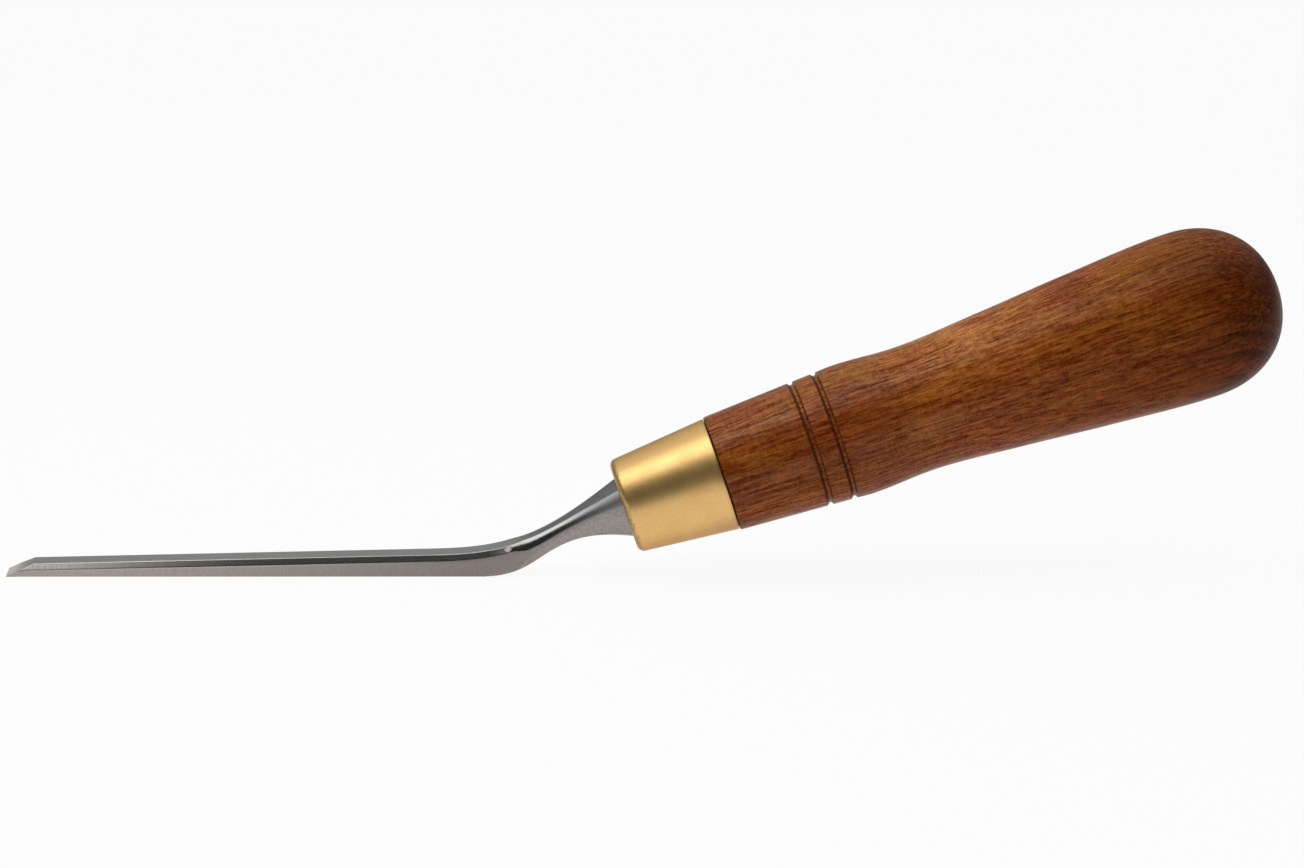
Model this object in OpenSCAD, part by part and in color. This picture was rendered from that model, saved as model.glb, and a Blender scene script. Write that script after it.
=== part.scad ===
// Cranked neck paring chisel: a bevel-edged blade whose neck lifts the handle clear of the work.
// Frame: origin in the middle of the cutting edge, X along the flat back towards the handle, Z up.

/* [Blade] */
// Width of the blade and of its cutting edge
blade_w = 6.35; // [5:0.05:8]
// Length of the flat back, from the cutting edge to the heel of the crank
back_len = 96; // [70:1:130]
// How far before the heel the top of the blade starts to sweep up
sweep_lead = 10; // [7:0.5:14]
// Thickness of the blade at its end, before the end bevel is ground
tip_t = 2.4; // [1.8:0.1:3]
// Thickness of the blade where its top starts to sweep up
root_t = 4.4; // [3.6:0.1:5.4]
// Angle of the end bevel that makes the cutting edge
edge_angle = 25; // [20:1:35]
// Height of the ground side bevels
side_bevel_h = 1.2; // [0.6:0.1:1.6]
// How far each side bevel leans in
side_bevel_in = 0.8; // [0.4:0.1:1.4]

/* [Crank and neck] */
// Angle of the handle above the flat back
handle_angle = 19.5; // [14:0.5:26]
// Distance along the back from the heel to the middle of the ferrule's front
crank_run = 29; // [26:0.5:34]
// Height of the middle of the ferrule's front above the flat back
crank_rise = 14; // [12:0.5:18]
// How strongly the heel holds the line of the flat back
heel_hold = 13; // [9:0.5:16]
// How strongly the top holds the line of the blade
sweep_hold = 16; // [10:0.5:20]
// How far the flare reaches forward along the underside of the neck
under_reach = 19; // [14:0.5:22]
// How far the flare reaches forward along the top of the neck
upper_reach = 20; // [14:0.5:23]
// Angle by which the underside flares away from the handle's axis
under_flare = 25; // [15:1:32]
// Angle by which the top flares away from the handle's axis
upper_flare = 20; // [12:1:28]
// How far past the heel the ground side bevels run out
grind_past_heel = 5.5; // [3:0.5:7]
// Distance from the end of the side bevels to where the neck's shoulders are full
shoulder_run = 4.5; // [3:0.5:7]
// Height of the neck's shoulders
shoulder_h = 2.3; // [1.8:0.1:2.8]
// How far each shoulder of the neck leans in
shoulder_in = 1.5; // [1:0.1:1.8]
// How far the shoulders of the neck are rounded out
shoulder_bulge = 0.35; // [0.2:0.05:0.5]
// Height of the small step where the side bevels stop
nick_h = 0.1; // [0.05:0.05:0.2]
// How far past the heel the neck is at its narrowest
neck_past_heel = 14; // [11:0.5:17]
// Width of the neck at its narrowest
neck_w = 6; // [4.6:0.1:7.4]
// Diameter of the bolster that seats on the ferrule
bolster_d = 12.5; // [11:0.5:14]
// Roundness of the bolster's end: 0 keeps the blade's section, 1 is a circle
bolster_round = 0.8; // [0.6:0.05:1]
// Fullness of the bolster's top: 1 is a ridge, 2 is round
crown = 1.35; // [1.2:0.05:2]

/* [Tang] */
// Length of the tang behind the bolster
tang_len = 62; // [45:1:85]
// Width of the square tang at the bolster
tang_w = 6; // [4.5:0.1:7]
// Width of the square tang at its tip
tang_tip_w = 3; // [2:0.1:4]
// Clearance between the tang and its socket, on each side
tang_fit = 0.1; // [0.05:0.05:0.3]
// Depth of the socket past the tip of the tang
socket_spare = 1; // [0.5:0.5:5]

/* [Ferrule] */
// Length of the ferrule
ferrule_len = 21; // [16:0.2:26]
// Diameter of the ferrule's taper, carried through to its front face
ferrule_front_d = 19.7; // [18.5:0.1:21]
// Diameter of the ferrule at its rear rim
ferrule_rear_d = 23.8; // [22.5:0.1:24.2]
// Thickness of the ferrule's side wall
ferrule_wall = 1.2; // [0.8:0.1:1.8]
// Thickness of the ferrule's front wall
ferrule_front_t = 2; // [1.6:0.1:3]
// Radius of the ferrule's front rim
ferrule_rim_r = 1.5; // [0.6:0.1:1.9]
// Chamfer on the ferrule's rear edge
ferrule_chamfer = 0.2; // [0.1:0.05:0.4]
// Clearance between the ferrule and the handle's spigot, on the radius
ferrule_fit = 0.05; // [0.02:0.01:0.1]
// Gap left between the ferrule and the handle's shoulder
shoulder_gap = 0.2; // [0.1:0.05:0.5]

/* [Handle] */
// Diameter of the handle's shoulder, behind the ferrule
shoulder_d = 24.3; // [24.2:0.1:26]
// Chamfer on the edge of the shoulder
shoulder_chamfer = 0.3; // [0.1:0.05:0.6]
// Distance from the shoulder to the first ring groove
groove_at = 19.1; // [12:0.1:24]
// Distance between the two ring grooves
groove_gap = 5.1; // [3:0.1:8]
// Width of a ring groove, which is half as deep
groove_w = 1.2; // [0.6:0.1:1.6]
// Diameter of the handle at the second groove
land_d = 27.1; // [25.5:0.1:28]
// Distance from the second groove to the crest of the bead
groove_to_bead = 4.4; // [3:0.1:8]
// Diameter of the bead at its crest
bead_d = 27.6; // [26.8:0.1:29]
// Distance from the bead to the waist
bead_to_waist = 13; // [8:0.5:18]
// Diameter of the waist
waist_d = 26.4; // [24:0.1:27.4]
// Distance from the waist to the flank
waist_to_flank = 19; // [12:0.5:26]
// Diameter of the flank, where the handle fills out fastest
flank_d = 29; // [27.6:0.1:31]
// Distance from the flank to the swell
flank_to_swell = 19; // [12:0.5:28]
// Diameter of the swell, where the palm starts to fill
swell_d = 32.3; // [31.2:0.1:33.4]
// Distance from the swell to the fullest part of the palm
swell_to_palm = 22; // [14:0.5:30]
// Diameter of the fullest part of the palm
palm_d = 35; // [33.6:0.1:38]
// Distance from the fullest part to the end of the butt
butt_len = 18.6; // [12:0.5:24]
// Fullness of the butt: 2 is an ellipse, more is squarer
butt_fullness = 2.2; // [1.8:0.1:3]

/* [Hidden] */
$fn = 96;

steel = [0.62, 0.61, 0.60];
brass = [0.80, 0.65, 0.36];
stained_wood = [0.47, 0.26, 0.15];

// Side view of the blade: a long wedge, ground off at the end bevel
taper_len = back_len - sweep_lead;
taper_angle = atan((root_t - tip_t) / taper_len);
end_bevel_x = tip_t / (tan(edge_angle) - tan(taper_angle));
cut_margin = 2;

// Side view of the crank: a lower and an upper rail, from the wedge to the bolster
bolster_r = bolster_d / 2;
bolster_mid = [back_len + crank_run, crank_rise];
up_from_axis = [-sin(handle_angle), cos(handle_angle)];
heel = [back_len, 0];
under_end = bolster_mid - bolster_r * up_from_axis;
upper_end = bolster_mid + bolster_r * up_from_axis;
sweep_start = [taper_len, root_t];
under_curve = [heel, heel + heel_hold * heading(0),
               under_end - under_reach * heading(handle_angle - under_flare), under_end];
upper_curve = [sweep_start, sweep_start + sweep_hold * heading(taper_angle),
               upper_end - upper_reach * heading(handle_angle + upper_flare), upper_end];
flat_share = sweep_lead / (sweep_lead + norm(under_end - heel));

// The crank's sections run from station 0 at the wedge to station 1 at the bolster
crank_sections = 54;
run_out = station_at(back_len + grind_past_heel);
shoulder_full = station_at(back_len + grind_past_heel + shoulder_run);
narrowest = station_at(back_len + neck_past_heel);
bottom_steps = 3;
land_steps = 4;
bevel_steps = 5;
top_steps = 3;

// Angles on a round section where the corners of the bevelled section end up
lower_corner = -45;
land_corner = 15;
top_corner = 46;

// Tang: it tapers evenly, and its root is buried in the bolster
tang_root = 2;
tang_slope = (tang_w - tang_tip_w) / tang_len;
tang_hole_d = (tang_w + 2 * tang_fit) * sqrt(2);

// Ferrule: an even taper with a rounded front rim
ferrule_slope = (ferrule_rear_d - ferrule_front_d) / 2 / ferrule_len;
ferrule_taper = atan(ferrule_slope);
rim_mid_r = ferrule_front_d / 2 + ferrule_rim_r * ferrule_slope - ferrule_rim_r / cos(ferrule_taper);
rim_steps = 12;

// Handle: distances along its axis from the front of the ferrule
shoulder_z = ferrule_len + shoulder_gap;
land_z = shoulder_z + groove_at + groove_gap;
bead_z = land_z + groove_to_bead;
waist_z = bead_z + bead_to_waist;
flank_z = waist_z + waist_to_flank;
swell_z = flank_z + flank_to_swell;
palm_z = swell_z + swell_to_palm;
turning = [[shoulder_z, shoulder_d / 2], [land_z, land_d / 2], [bead_z, bead_d / 2],
           [waist_z, waist_d / 2], [flank_z, flank_d / 2], [swell_z, swell_d / 2], [palm_z, palm_d / 2]];
turning_slopes = [slope(turning[0], turning[1]), slope(turning[0], turning[2]), 0, 0,
                  slope(turning[3], turning[5]), slope(turning[4], turning[6]), 0];
curve_steps = 10;
butt_steps = 24;

function heading(a) = [cos(a), sin(a)];

function mix(a, b, share) = a + (b - a) * share;

function ease(x) = let (c = max(0, min(1, x))) c * c * (3 - 2 * c);

function bezier(p, t) =
    pow(1 - t, 3) * p[0] + 3 * pow(1 - t, 2) * t * p[1] + 3 * (1 - t) * t * t * p[2] + pow(t, 3) * p[3];

function under_rail(t) =
    t < flat_share ? mix([taper_len, 0], heel, t / flat_share)
                   : bezier(under_curve, (t - flat_share) / (1 - flat_share));

function upper_rail(t) = bezier(upper_curve, t);

// Station of the crank at which its upper rail passes the given distance from the cutting edge
function station_at(x, low = 0, high = 1) =
    high - low < 0.0001 ? low
    : let (mid = (low + high) / 2)
      upper_rail(mid)[0] < x ? station_at(x, mid, high) : station_at(x, low, mid);

// Half width of the crank: the blade, drawn in to the neck, then flared to the bolster
function half_width(t) =
    mix(blade_w, neck_w, ease((t - run_out) / (narrowest - run_out))) / 2
    + (bolster_d - neck_w) / 2 * pow(max(0, (t - narrowest) / (1 - narrowest)), 2);

// Points from a towards b, without b itself
function stretch(a, b, steps) = [for (i = [0 : steps - 1]) mix(a, b, i / steps)];

// One side of a bevel-edged section, from the middle of its underside to the middle of its top
function bevelled_side(w, h, lean, drop, bulge) = concat(
    stretch([0, 0], [w, 0], bottom_steps),
    stretch([w, 0], [w, h - drop], land_steps),
    [for (i = [0 : bevel_steps - 1])
        let (s = i / bevel_steps,
             out = [drop, lean] / norm([drop, lean]))
        mix([w, h - drop], [w - lean, h], s) + 4 * s * (1 - s) * bulge * out],
    stretch([w - lean, h], [0, h], top_steps),
    [[0, h]]);

// The same points, spread round one side of an ellipse with a flatter crown
function round_side(w, h) =
    let (angles = concat(stretch(-90, lower_corner, bottom_steps),
                         stretch(lower_corner, land_corner, land_steps),
                         stretch(land_corner, top_corner, bevel_steps)),
         crown_fall = h / 2 * (1 - sin(top_corner)))
    concat([for (a = angles) [w * cos(a), h / 2 + h / 2 * sin(a)]],
           [for (i = [top_steps : -1 : 0])
               let (s = i / top_steps)
               [w * cos(top_corner) * s, h - crown_fall * pow(s, crown)]]);

function side_points(t, h) =
    let (w = half_width(t),
         unground = ease((t - run_out) / (shoulder_full - run_out)),
         lean = mix(side_bevel_in, shoulder_in, unground) * w * 2 / blade_w,
         drop = mix(side_bevel_h, shoulder_h, unground) * max(1, h / (root_t + side_bevel_h)),
         nick = nick_h * ease((t - run_out) * crank_sections),
         bulge = max(nick, shoulder_bulge * unground * drop / shoulder_h),
         roundness = bolster_round * ease((t - run_out) / (1 - run_out)))
    mix(bevelled_side(w, h, lean, drop, bulge), round_side(w, h), roundness);

// A whole section as points in space, from one side of it and its rise from the underside to the top
function section_points(under, rise, side) =
    let (h = norm(rise),
         last = len(side) - 1,
         loop = concat(side, [for (i = [last - 1 : -1 : 1]) [-side[i][0], side[i][1]]]))
    [for (p = loop)
        let (q = under + rise * p[1] / h)
        [q[0], p[0], q[1]]];

function wedge_section(x) =
    let (h = tip_t + x * tan(taper_angle))
    section_points([x, 0], [0, h], bevelled_side(blade_w / 2, h, side_bevel_in, side_bevel_h, 0));

function crank_section(t) =
    let (rise = upper_rail(t) - under_rail(t))
    section_points(under_rail(t), rise, side_points(t, norm(rise)));

function slope(a, b) = (b[1] - a[1]) / (b[0] - a[0]);

// Height of the smooth curve between two turning stations
function turned(i, s) =
    let (a = turning[i], b = turning[i + 1], run = b[0] - a[0])
    mix(a[1], b[1], ease(s))
    + run * (turning_slopes[i] * s * pow(1 - s, 2) - turning_slopes[i + 1] * s * s * (1 - s));

// Puts a piece turned about Z on the handle's axis, with its origin at the front of the ferrule
module on_handle_axis() {
    translate([bolster_mid[0], 0, bolster_mid[1]])
        rotate([0, 90 - handle_angle, 0])
            children();
}

// The blade and its crank as one bar, from just before the cutting edge to the bolster
module bar() {
    sections = concat([wedge_section(-cut_margin)],
                      [for (i = [0 : crank_sections]) crank_section(i / crank_sections)]);
    n = len(sections[0]);
    last = len(sections) - 1;
    polyhedron(
        points = [for (s = sections) each s],
        faces = concat(
            [[for (k = [0 : n - 1]) k]],
            [for (i = [0 : last - 1], k = [0 : n - 1])
                let (a = i * n + k, b = i * n + (k + 1) % n)
                each [[a, a + n, b + n], [a, b + n, b]]],
            [[for (k = [n - 1 : -1 : 0]) last * n + k]]));
}

// Waste in front of the end bevel
module end_bevel_cut() {
    front = -2 * cut_margin;
    rear = end_bevel_x + cut_margin;
    rotate([90, 0, 0])
        linear_extrude(blade_w + 2 * cut_margin, center = true)
            polygon([[front, front * tan(edge_angle)], [rear, rear * tan(edge_angle)],
                     [front, rear * tan(edge_angle)]]);
}

// Square taper from the bolster to the tip, widened by the given clearance
module tang_shape(from, to, clearance) {
    near = tang_w / 2 - tang_slope / 2 * from + clearance;
    far = tang_w / 2 - tang_slope / 2 * to + clearance;
    side = [[-near, from], [near, from], [far, to], [-far, to]];
    across = 2 * near + cut_margin;
    intersection() {
        rotate([90, 0, 0])
            linear_extrude(across, center = true)
                polygon(side);
        rotate([90, 0, 90])
            linear_extrude(across, center = true)
                polygon(side);
    }
}

module blade() {
    color(steel)
        union() {
            difference() {
                bar();
                end_bevel_cut();
            }
            on_handle_axis()
                tang_shape(-tang_root, tang_len, 0);
        }
}

module ferrule() {
    rim = [for (i = [0 : rim_steps])
        let (a = mix(-90, -ferrule_taper, i / rim_steps))
        [rim_mid_r, ferrule_rim_r] + ferrule_rim_r * heading(a)];
    inner_front_r = ferrule_front_d / 2 + ferrule_slope * ferrule_front_t - ferrule_wall;
    color(brass)
        on_handle_axis()
            rotate_extrude()
                polygon(concat(
                    [[tang_hole_d / 2, 0]], rim,
                    [[ferrule_rear_d / 2 - ferrule_chamfer * ferrule_slope,
                      ferrule_len - ferrule_chamfer],
                     [ferrule_rear_d / 2 - ferrule_chamfer, ferrule_len],
                     [ferrule_rear_d / 2 - ferrule_wall, ferrule_len],
                     [inner_front_r, ferrule_front_t], [tang_hole_d / 2, ferrule_front_t]]));
}

module handle() {
    spigot_front_r = ferrule_front_d / 2 + ferrule_slope * ferrule_front_t - ferrule_wall - ferrule_fit;
    spigot_rear_r = ferrule_front_d / 2 + ferrule_slope * shoulder_z - ferrule_wall - ferrule_fit;
    body = [for (i = [0 : len(turning) - 2], k = [0 : curve_steps - 1])
        let (s = k / curve_steps)
        if (i + k > 0)
            [turned(i, s), mix(turning[i][0], turning[i + 1][0], s)]];
    butt = [for (i = [0 : butt_steps])
        let (a = 90 * i / butt_steps,
             power = 2 / butt_fullness)
        [palm_d / 2 * pow(cos(a), power), palm_z + butt_len * pow(sin(a), power)]];
    color(stained_wood)
        on_handle_axis()
            difference() {
                rotate_extrude()
                    polygon(concat(
                        [[0, ferrule_front_t],
                         [spigot_front_r, ferrule_front_t],
                         [spigot_rear_r, shoulder_z],
                         [shoulder_d / 2 - shoulder_chamfer, shoulder_z],
                         [shoulder_d / 2, shoulder_z + shoulder_chamfer]],
                        body, butt));
                for (z = [land_z - groove_gap, land_z])
                    rotate_extrude()
                        translate([turned(0, (z - shoulder_z) / (land_z - shoulder_z)), z])
                            circle(d = groove_w);
                tang_shape(ferrule_front_t - cut_margin, tang_len + socket_spare, tang_fit);
            }
}

blade();
ferrule();
handle();
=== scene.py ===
import bmesh
import bpy
import math
from mathutils import Matrix, Quaternion, Vector


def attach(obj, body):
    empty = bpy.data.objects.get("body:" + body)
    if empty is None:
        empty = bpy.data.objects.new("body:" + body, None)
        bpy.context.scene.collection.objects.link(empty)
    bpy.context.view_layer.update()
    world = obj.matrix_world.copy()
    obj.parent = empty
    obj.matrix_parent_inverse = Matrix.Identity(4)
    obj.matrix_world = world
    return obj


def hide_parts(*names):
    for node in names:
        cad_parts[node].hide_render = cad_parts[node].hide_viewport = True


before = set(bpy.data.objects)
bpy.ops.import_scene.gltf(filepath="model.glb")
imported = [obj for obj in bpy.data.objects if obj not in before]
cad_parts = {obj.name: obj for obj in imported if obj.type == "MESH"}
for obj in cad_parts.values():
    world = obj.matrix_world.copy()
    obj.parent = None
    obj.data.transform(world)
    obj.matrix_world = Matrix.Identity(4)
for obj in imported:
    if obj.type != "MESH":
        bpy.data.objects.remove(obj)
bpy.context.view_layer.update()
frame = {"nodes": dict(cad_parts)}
print("frame loaded, nodes:", ", ".join(frame["nodes"]))

mm = 0.001  # shapes below are given in millimetres
mergeDistance = 1e-7  # metres
scene = bpy.context.scene
scene.view_settings.view_transform = "Standard"


# camera, as the photograph was taken
viewpoint = {
    "target": (0.1304, 0.0, 0.0294),
    "azimuth": -5.47, "elevation": 13.80, "roll": 1.54,  # degrees
    "distance": 0.6247, "clipStart": 0.01,
    "lens": 84.42, "sensor": 36.0,  # mm
}


def placeCamera(view):
    a, e = math.radians(view["azimuth"]), math.radians(view["elevation"])
    back = Vector((math.sin(a) * math.cos(e), -math.cos(a) * math.cos(e), math.sin(e)))
    data = bpy.data.cameras.new("camera")
    data.lens = view["lens"]
    data.sensor_width = view["sensor"]
    data.clip_start = view["clipStart"]
    camera = bpy.data.objects.new("camera", data)
    turn = (-back).to_track_quat("-Z", "Y") @ Quaternion((0, 0, 1), math.radians(view["roll"]))
    camera.location = Vector(view["target"]) + back * view["distance"]
    camera.rotation_euler = turn.to_euler()
    scene.collection.objects.link(camera)
    scene.camera = camera


placeCamera(viewpoint)
print("camera placed")


# node helpers
def feed(tree, node, inputs):
    for name, value in inputs.items():
        if isinstance(value, bpy.types.NodeSocket):
            tree.links.new(value, node.inputs[name])
        else:
            node.inputs[name].default_value = value


def addNode(tree, kind, inputs=None, **settings):
    node = tree.nodes.new(kind)
    for name, value in settings.items():
        setattr(node, name, value)
    feed(tree, node, inputs or {})
    return node


def calc(tree, operation, a, b=0.0):
    return addNode(tree, "ShaderNodeMath", {0: a, 1: b}, operation=operation).outputs[0]


def times(tree, a, b):
    return calc(tree, "MULTIPLY", a, b)


def less(tree, a, b):
    return calc(tree, "SUBTRACT", a, b)


def apart(tree, a, b):
    return calc(tree, "ABSOLUTE", less(tree, a, b))


def sumOf(tree, *parts):  # each part is a value and its share
    result = times(tree, *parts[0])
    for value, share in parts[1:]:
        result = calc(tree, "ADD", result, times(tree, value, share))
    return result


def vectorCalc(tree, operation, a, b=(0, 0, 0)):
    node = addNode(tree, "ShaderNodeVectorMath", {0: a, 1: b}, operation=operation)
    return node.outputs["Value" if operation == "LENGTH" else "Vector"]


def spread(tree, value, reach, to=(0.0, 1.0), smooth=False):
    inputs = {"Value": value, "From Min": reach[0], "From Max": reach[1], "To Min": to[0], "To Max": to[1]}
    kind = "SMOOTHSTEP" if smooth else "LINEAR"
    return addNode(tree, "ShaderNodeMapRange", inputs, interpolation_type=kind, clamp=True).outputs[0]


def between(tree, mask, to):  # the first value where the mask is 0, the second where it is 1
    return spread(tree, mask, (0.0, 1.0), to)


def fade(tree, value, reach, to=(0.0, 1.0), smooth=True):  # changes from one place to another, in mm
    return spread(tree, value, (reach[0] * mm, reach[1] * mm), to, smooth)


def tint(tree, share, a, b, mode="MIX"):
    node = addNode(tree, "ShaderNodeMix", {0: share, 6: a, 7: b}, data_type="RGBA", blend_type=mode)
    return node.outputs[2]


def mapped(tree, vector, scale=(1, 1, 1), location=(0, 0, 0), rotation=(0, 0, 0), kind="POINT"):
    inputs = {"Vector": vector, "Location": location, "Rotation": rotation, "Scale": scale}
    return addNode(tree, "ShaderNodeMapping", inputs, vector_type=kind).outputs[0]


def newMaterial(name):
    material = bpy.data.materials.new(name)
    material.use_nodes = True
    tree = material.node_tree
    tree.nodes.clear()
    shader = addNode(tree, "ShaderNodeBsdfPrincipled")
    addNode(tree, "ShaderNodeOutputMaterial", {"Surface": shader.outputs[0]})
    return material, tree, shader


def addBump(tree, shader, height, bump):
    strength, depth = bump
    node = addNode(tree, "ShaderNodeBump", {"Strength": strength, "Distance": depth * mm, "Height": height})
    feed(tree, shader, {"Normal": node.outputs[0]})


# floor and light
studio = {
    "floorHalf": 3.0, "floorDrop": 0.05 * mm,
    "floorColour": (0.90, 0.90, 0.90, 1.0), "floorRoughness": 0.9, "floorGloss": 0.1,
    "whiteSeen": 0.93, "whiteMirrored": 0.63,  # share of plain white in the floor, the rest keeps the shadow
    "worldBack": 0.34, "worldFront": 0.045, "worldTop": 0.64,
    "backToTop": (0.15, 0.75), "frontToBack": (-0.50, -0.10),  # where one brightness turns into the next
    # name: middle, the point it faces, width, depth, brightness
    "lamps": {
        "overhead": ((-0.18, -0.17, 0.80), (-0.18, -0.17, 0.0), 1.20, 0.60, 1.50),
    },
}


def makeFloor(s):
    bm = bmesh.new()
    bmesh.ops.create_grid(bm, x_segments=1, y_segments=1, size=s["floorHalf"])
    bmesh.ops.translate(bm, verts=bm.verts, vec=(0, 0, -s["floorDrop"]))
    mesh = bpy.data.meshes.new("floor")
    bm.to_mesh(mesh)
    bm.free()
    floor = bpy.data.objects.new("floor", mesh)
    scene.collection.objects.link(floor)
    material, tree, shader = newMaterial("floorPaper")
    feed(tree, shader, {"Base Color": s["floorColour"], "Roughness": s["floorRoughness"],
                        "Specular IOR Level": s["floorGloss"]})
    ray = addNode(tree, "ShaderNodeLightPath").outputs
    mirrored = calc(tree, "MAXIMUM", ray["Is Glossy Ray"], ray["Is Transmission Ray"])
    share = calc(tree, "MAXIMUM", times(tree, ray["Is Camera Ray"], s["whiteSeen"]),
                 times(tree, mirrored, s["whiteMirrored"]))
    white = addNode(tree, "ShaderNodeEmission", {"Color": (1, 1, 1, 1), "Strength": 1.0})
    both = addNode(tree, "ShaderNodeMixShader", {0: share, 1: shader.outputs[0], 2: white.outputs[0]})
    feed(tree, tree.nodes["Material Output"], {"Surface": both.outputs[0]})
    mesh.materials.append(material)


def makeLamps(s):
    for name, (place, aim, width, depth, brightness) in s["lamps"].items():
        data = bpy.data.lights.new(name, "AREA")
        data.shape = "RECTANGLE"
        data.size, data.size_y = width, depth
        data.energy = brightness * math.pi * width * depth
        lamp = bpy.data.objects.new(name, data)
        lamp.location = place
        lamp.rotation_euler = (Vector(aim) - Vector(place)).to_track_quat("-Z", "Y").to_euler()
        scene.collection.objects.link(lamp)


def makeWorld(s):
    world = bpy.data.worlds.new("studioWorld")
    world.use_nodes = True
    scene.world = world
    tree = world.node_tree
    tree.nodes.clear()
    coords = addNode(tree, "ShaderNodeTexCoord").outputs["Generated"]
    axes = addNode(tree, "ShaderNodeSeparateXYZ", {0: coords}).outputs
    back = spread(tree, axes["Z"], s["backToTop"], (s["worldBack"], s["worldTop"]), smooth=True)
    rear = spread(tree, axes["Y"], s["frontToBack"], smooth=True)
    light = sumOf(tree, (rear, back), (less(tree, 1.0, rear), s["worldFront"]))
    sky = addNode(tree, "ShaderNodeBackground", {"Color": (1, 1, 1, 1), "Strength": light})
    addNode(tree, "ShaderNodeOutputWorld", {"Surface": sky.outputs[0]})


makeFloor(studio)
makeLamps(studio)
makeWorld(studio)
print("floor, lamps and world ready")


# groups that more than one finish uses
def newGroup(name, inputs, outputs):
    group = bpy.data.node_groups.new(name, "ShaderNodeTree")
    for label, kind, value in inputs:
        socket = group.interface.new_socket(label, in_out="INPUT", socket_type=kind)
        if value is not None:
            socket.default_value = value
    for label, kind in outputs:
        group.interface.new_socket(label, in_out="OUTPUT", socket_type=kind)
    return group, group.nodes.new("NodeGroupInput").outputs, group.nodes.new("NodeGroupOutput")


def makeFineLines():
    group, given, out = newGroup(
        "fineLines",
        (("Vector", "NodeSocketVector", None), ("Detail", "NodeSocketFloat", 2.0),
         ("Low", "NodeSocketFloat", 0.4), ("High", "NodeSocketFloat", 0.6)),
        (("Mask", "NodeSocketFloat"),))
    noise = addNode(group, "ShaderNodeTexNoise", {"Vector": given["Vector"], "Scale": 1.0,
                                                  "Detail": given["Detail"], "Roughness": 0.55})
    feed(group, out, {"Mask": spread(group, noise.outputs[0], (given["Low"], given["High"]))})
    return group


def makeMottle():
    group, given, out = newGroup(
        "mottle",
        (("Vector", "NodeSocketVector", None), ("Scale", "NodeSocketFloat", 60.0),
         ("Contrast", "NodeSocketFloat", 0.2)),
        (("Value", "NodeSocketFloat"),))
    noise = addNode(group, "ShaderNodeTexNoise", {"Vector": given["Vector"], "Scale": given["Scale"],
                                                  "Detail": 3.0, "Roughness": 0.6})
    low, high = less(group, 0.5, given["Contrast"]), calc(group, "ADD", 0.5, given["Contrast"])
    feed(group, out, {"Value": spread(group, noise.outputs[0], (low, high))})
    return group


fineLinesGroup = makeFineLines()
mottleGroup = makeMottle()


def fineLines(tree, vector, reach=(0.30, 0.70), detail=2.0):
    inputs = {"Vector": vector, "Low": reach[0], "High": reach[1], "Detail": detail}
    return addNode(tree, "ShaderNodeGroup", inputs, node_tree=fineLinesGroup).outputs["Mask"]


def mottle(tree, vector, scale, contrast=0.2):
    inputs = {"Vector": vector, "Scale": scale, "Contrast": contrast}
    return addNode(tree, "ShaderNodeGroup", inputs, node_tree=mottleGroup).outputs["Value"]


print("node groups ready")


# the handle's axis, which the ferrule and the wood share
handleAxis = {"slope": 19.5, "front": (125.0, 0.0, 14.0)}  # degrees, and the middle of the ferrule's front
axisPlace = Vector(handleAxis["front"]) * mm
axisTurn = math.radians(90 - handleAxis["slope"])
axisFrame = Matrix.Translation(axisPlace) @ Matrix.Rotation(axisTurn, 4, "Y")


def onAxis(tree):
    coords = addNode(tree, "ShaderNodeTexCoord").outputs["Object"]
    return mapped(tree, coords, location=axisPlace, rotation=(0, axisTurn, 0), kind="TEXTURE")


def turnedMesh(points, closed, steps):
    bm = bmesh.new()
    verts = [bm.verts.new((r * mm, 0, z * mm)) for r, z in points]
    pairs = list(zip(verts, verts[1:]))
    if closed:
        pairs.append((verts[-1], verts[0]))
    edges = [bm.edges.new(pair) for pair in pairs]
    bmesh.ops.spin(bm, geom=verts + edges, cent=(0, 0, 0), axis=(0, 0, 1), angle=2 * math.pi,
                   steps=steps, use_merge=True)
    bmesh.ops.remove_doubles(bm, verts=bm.verts, dist=mergeDistance)
    bmesh.ops.recalc_face_normals(bm, faces=bm.faces)
    bmesh.ops.transform(bm, matrix=axisFrame, verts=bm.verts)
    return bm


def finishPiece(bm, name, material, node, sharpAngle):
    mesh = bpy.data.meshes.new(name)
    bm.to_mesh(mesh)
    bm.free()
    mesh.shade_smooth()
    mesh.set_sharp_from_angle(angle=math.radians(sharpAngle))
    mesh.materials.append(material)
    piece = bpy.data.objects.new(name, mesh)
    scene.collection.objects.link(piece)
    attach(piece, "root")
    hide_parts(node)
    print(name, "made with", len(mesh.polygons), "faces")
    return piece


def arc(middle, radius, start, end, steps):
    angles = [math.radians(start + (end - start) * i / steps) for i in range(steps + 1)]
    return [(middle[0] + radius * math.cos(a), middle[1] + radius * math.sin(a)) for a in angles]


def ease(x):
    c = max(0.0, min(1.0, x))
    return c * c * (3 - 2 * c)


def mix(a, b, share):
    return a + (b - a) * share


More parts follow.
